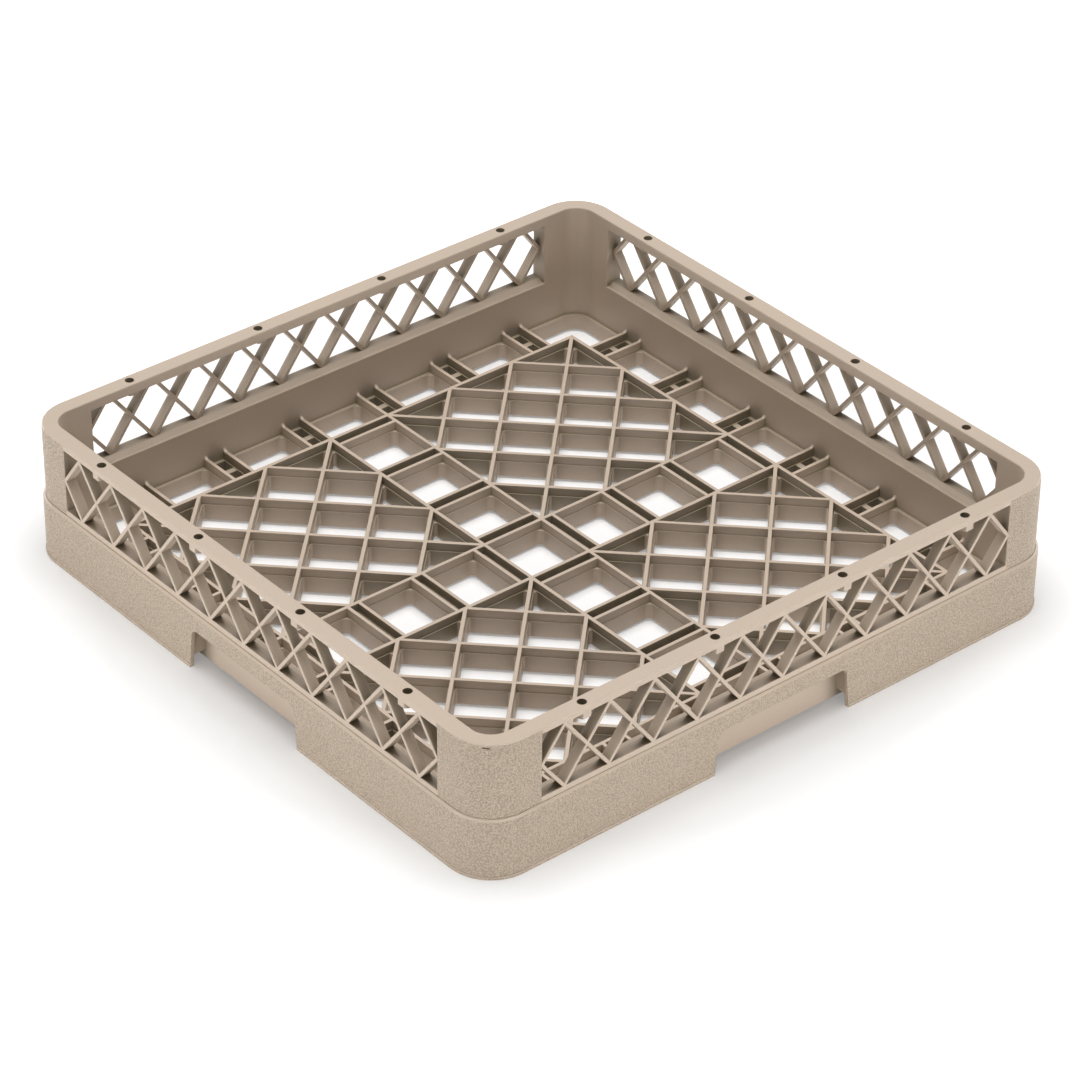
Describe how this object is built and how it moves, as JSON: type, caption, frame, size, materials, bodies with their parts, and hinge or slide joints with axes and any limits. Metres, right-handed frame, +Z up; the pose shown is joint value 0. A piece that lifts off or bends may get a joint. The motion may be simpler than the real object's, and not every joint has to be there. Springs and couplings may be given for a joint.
{
  "type": "dishwasher rack",
  "caption": "Open square dishwasher rack moulded in one piece, with a latticed upper band, a notched double-walled skirt and an open ribbed floor.",
  "frame": {"origin": "middle of the underside, on the surface that the skirt stands on", "axes": "+Z up out of the open top; X and Y along the walls"},
  "size_m": [0.502, 0.502, 0.1032],
  "materials": {
    "plastic": "moulded, beige, finely grained on the skirt and posts"
  },
  "bodies": {
    "root": {"rack": "plastic"}
  },
  "joints": []
}
